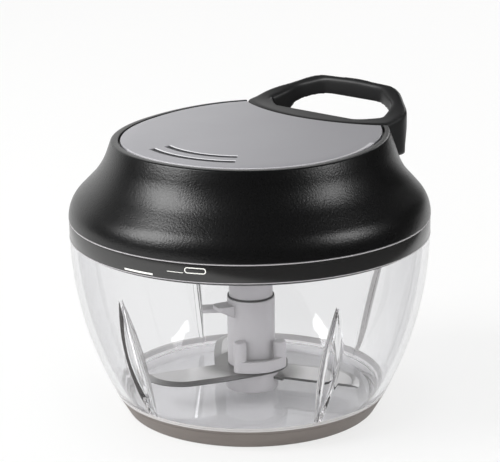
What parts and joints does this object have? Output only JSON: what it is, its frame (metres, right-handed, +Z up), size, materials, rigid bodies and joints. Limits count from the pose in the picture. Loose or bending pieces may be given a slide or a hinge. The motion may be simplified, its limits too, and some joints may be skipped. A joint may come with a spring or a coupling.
{
  "type": "pull cord food chopper",
  "caption": "Round clear chopping bowl with a black lid: pulling the lid's finger handle out on its cord turns a reel, ratchet and curved blades.",
  "frame": {"origin": "centre of the base pad's bottom face, where the chopper rests", "axes": "+Z up along the bowl's and the blades' axis; +X the way the handle is pulled out"},
  "size_m": [0.1402, 0.1402, 0.1202],
  "materials": {
    "clear_plastic": "clear, glossy",
    "base_grey": "matte warm grey",
    "steel": "fine brushed",
    "blade_steel": "polished",
    "spring_steel": "blued",
    "seal_silicone": "matte",
    "lid_black": "glossy",
    "plate_grey": "satin",
    "handle_black": "satin",
    "cover_black": "satin",
    "column_grey": "satin",
    "gear_white": "satin",
    "cord_white": "braided",
    "bush_brass": "turned"
  },
  "bodies": {
    "bowl_body": {"bowl": "clear_plastic", "base_pad": "base_grey", "blade_pivot_pin": "steel"},
    "seal_body": {"lid_seal_ring": "seal_silicone"},
    "lid_body": {"lid_shell": "lid_black", "top_plate": "plate_grey", "lid_inner_cover": "cover_black", "cover_screws": "steel", "housing_screws": "steel", "axle_screw": "steel", "axle_clip": "spring_steel", "spring_housing": "gear_white", "spring_cover": "gear_white", "recoil_spring": "spring_steel", "spindle_bush": "bush_brass", "cord_eyelet": "steel", "pull_cord": "cord_white"},
    "handle_body": {"pull_handle": "handle_black", "cord_knot": "cord_white", "handle_plug": "handle_black"},
    "reel_body": {"cord_reel": "gear_white", "cord_winding": "cord_white", "pawl_carrier": "gear_white", "pawl_pins": "steel"},
    "pawl_1_body": {"pawl_1": "steel"},
    "pawl_2_body": {"pawl_2": "steel"},
    "spindle_body": {"drive_spindle": "column_grey", "ratchet_wheel": "gear_white", "thrust_washer": "steel"},
    "blade_body": {"blade_column": "column_grey", "blade_flange": "column_grey", "upper_blade": "blade_steel", "middle_blade": "blade_steel", "lower_blade": "blade_steel", "blade_spacers": "column_grey", "blade_hub": "column_grey", "mixing_paddle": "column_grey"}
  },
  "joints": [
    {"name": "lid_lift", "type": "slide", "parent": "bowl_body", "child": "seal_body", "axis": [0, 0, 1], "range_m": [0, 0.1]},
    {"name": "lid_turn", "type": "hinge", "parent": "seal_body", "child": "lid_body", "pos_m": [0, 0, 0.0784], "axis": [0, 0, 1], "range_deg": [-22, 0]},
    {"name": "handle_pull", "type": "slide", "parent": "lid_body", "child": "handle_body", "axis": [1, 0, 0], "range_m": [0, 0.2984], "stiffness_N_per_m": 12, "springref_m": -0.1, "deforming": ["pull_cord"]},
    {"name": "reel_spin", "type": "hinge", "parent": "lid_body", "child": "reel_body", "pos_m": [0, 0, 0.0956], "axis": [0, 0, 1], "range_deg": [0, 900]},
    {"name": "spindle_spin", "type": "hinge", "parent": "lid_body", "child": "spindle_body", "pos_m": [0, 0, 0.076], "axis": [0, 0, 1], "range_deg": [0, 900]},
    {"name": "blade_spin", "type": "hinge", "parent": "bowl_body", "child": "blade_body", "pos_m": [0, 0, 0.016], "axis": [0, 0, 1], "range_deg": [0, 900]},
    {"name": "pawl_1_lift", "type": "hinge", "parent": "reel_body", "child": "pawl_1_body", "pos_m": [0.01016, -0.013, 0.0813], "axis": [0, 0, 1], "range_deg": [-12, 0]},
    {"name": "pawl_2_lift", "type": "hinge", "parent": "reel_body", "child": "pawl_2_body", "pos_m": [-0.01016, 0.013, 0.0813], "axis": [0, 0, 1], "range_deg": [-12, 0]}
  ],
  "couplings": [
    {"joint": "reel_spin", "follows": "handle_pull", "rad_per_m": 52.632},
    {"joint": "spindle_spin", "follows": "handle_pull", "rad_per_m": 52.632},
    {"joint": "blade_spin", "follows": "handle_pull", "rad_per_m": 52.632}
  ]
}
